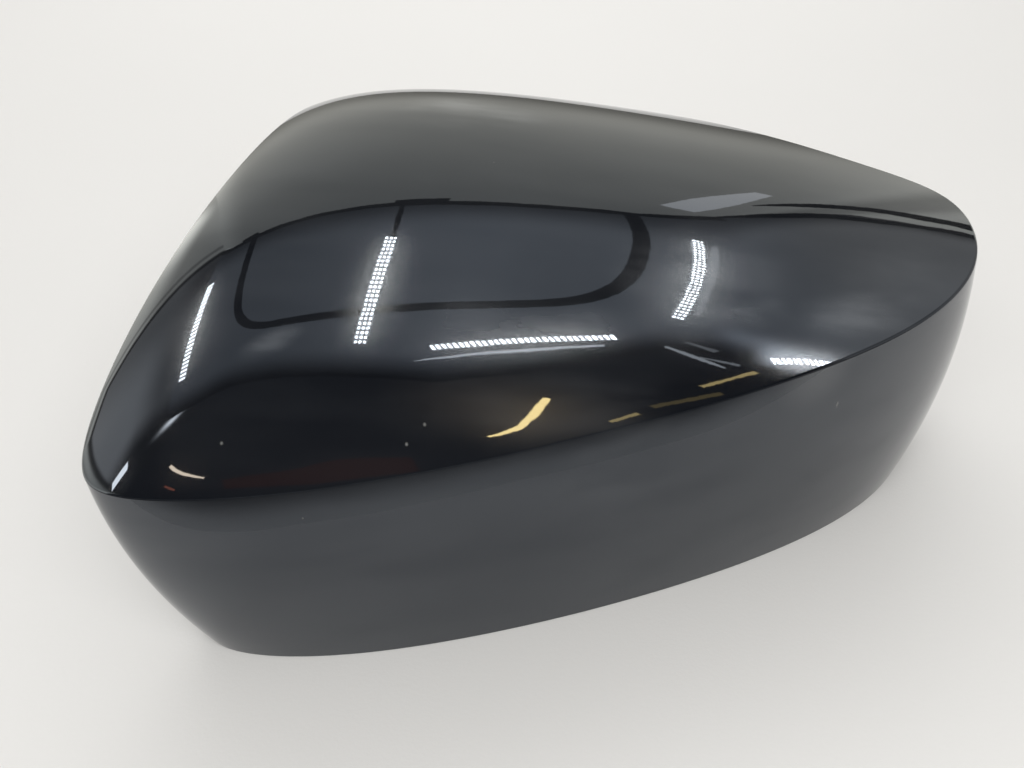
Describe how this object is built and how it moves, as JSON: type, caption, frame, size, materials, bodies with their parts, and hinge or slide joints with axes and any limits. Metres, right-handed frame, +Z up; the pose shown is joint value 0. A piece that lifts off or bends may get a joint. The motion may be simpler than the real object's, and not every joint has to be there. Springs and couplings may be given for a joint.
{
  "type": "wing mirror cover",
  "caption": "Hollow crowned shell that snaps over the back of a car's wing mirror: blunt at one end, drawn to a soft point at the other, with a crisp crease and hooks inside.",
  "frame": {"origin": "centre of the overall plan, on the plane of the rim", "axes": "+X along the length to the pointed end, +Y away from the upright near side, +Z up from the open side to the crown"},
  "size_m": [0.2332, 0.1606, 0.1066],
  "materials": {
    "painted_shell": "gloss black paint on the outside of a moulded plastic shell, bare satin black inside"
  },
  "bodies": {
    "root": {"mirror_cover": "painted_shell"}
  },
  "joints": []
}
